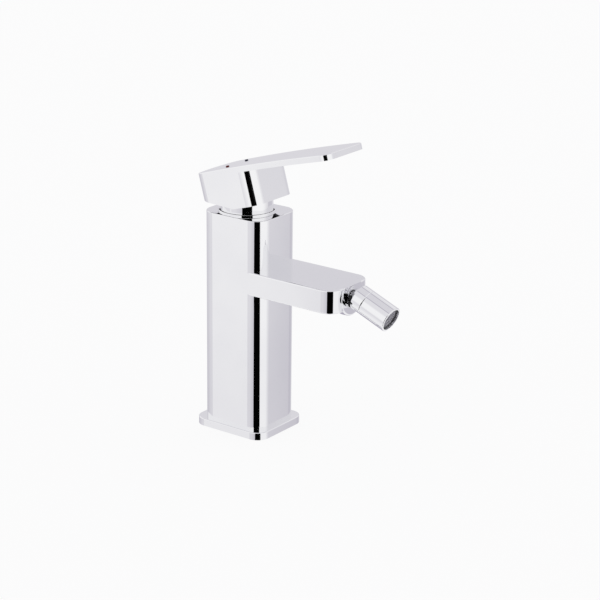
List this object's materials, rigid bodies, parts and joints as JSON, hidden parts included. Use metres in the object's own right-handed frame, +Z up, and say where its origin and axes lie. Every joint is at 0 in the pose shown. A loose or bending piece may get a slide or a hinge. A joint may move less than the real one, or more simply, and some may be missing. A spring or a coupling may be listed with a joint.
{
  "type": "bidet mixer",
  "caption": "Single-lever bidet mixer with a square column, a flat spout, a tilting spray nozzle on a ball joint and a paddle lever over a ceramic disc cartridge.",
  "frame": {"origin": "centre of the column's footprint, on the face that rests on the deck", "axes": "+Z up along the column, -Y ahead along the spout towards the user, +X to the user's right"},
  "size_m": [0.0446, 0.1343, 0.1835],
  "materials": {
    "chrome_plate": "mirror",
    "brass_insert": "machined",
    "ceramic": "ground",
    "moulded_plastic": "matt",
    "pale_plastic": "matt",
    "rubber": "soft",
    "steel": "brushed",
    "aerator_mesh": "woven",
    "red_mark": "gloss",
    "blue_mark": "gloss"
  },
  "bodies": {
    "mixer": {"body": "chrome_plate", "column_shell": "chrome_plate", "base_plate": "chrome_plate", "base_seal": "rubber", "inlet_block": "brass_insert", "block_seals": "rubber", "block_screws": "steel", "cartridge_base": "pale_plastic", "cartridge_seals": "rubber", "cartridge_housing": "pale_plastic", "fixed_disc": "ceramic", "cartridge_nut": "brass_insert", "cover_ring": "rubber", "cartridge_cover": "chrome_plate"},
    "rotor": {"temperature_sleeve": "moulded_plastic", "spindle_pin": "steel"},
    "lever": {"handle": "chrome_plate", "hot_mark": "red_mark", "cold_mark": "blue_mark", "grub_screw": "steel", "screw_plug": "moulded_plastic", "spindle": "brass_insert"},
    "valve": {"moving_disc": "ceramic", "disc_carrier": "moulded_plastic"},
    "swivel": {"ball_nipple": "chrome_plate", "nipple_ring": "rubber"},
    "nozzle": {"nozzle_collar": "chrome_plate", "nozzle_sleeve": "chrome_plate", "seat_ring": "rubber", "aerator_washer": "rubber", "aerator_insert": "moulded_plastic", "aerator_mesh": "aerator_mesh"}
  },
  "joints": [
    {"name": "temperature_turn", "type": "hinge", "parent": "mixer", "child": "rotor", "pos_m": [0, 0.002, 0.139], "axis": [0, 0, 1], "range_deg": [-50, 50]},
    {"name": "lever_lift", "type": "hinge", "parent": "rotor", "child": "lever", "pos_m": [0, 0.002, 0.139], "axis": [-1, 0, 0], "range_deg": [-16.2, 6.8]},
    {"name": "disc_shift", "type": "slide", "parent": "rotor", "child": "valve", "axis": [0, -1, 0], "range_m": [-0.0042, 0.0018]},
    {"name": "nozzle_swivel", "type": "hinge", "parent": "mixer", "child": "swivel", "pos_m": [0, -0.0816, 0.0964], "axis": [0, -1, 0], "continuous": true},
    {"name": "nozzle_tilt", "type": "hinge", "parent": "swivel", "child": "nozzle", "pos_m": [0, -0.0816, 0.0964], "axis": [-1, 0, 0], "range_deg": [0, 44]}
  ],
  "couplings": [
    {"joint": "disc_shift", "follows": "lever_lift", "m_per_rad": 0.01445}
  ]
}
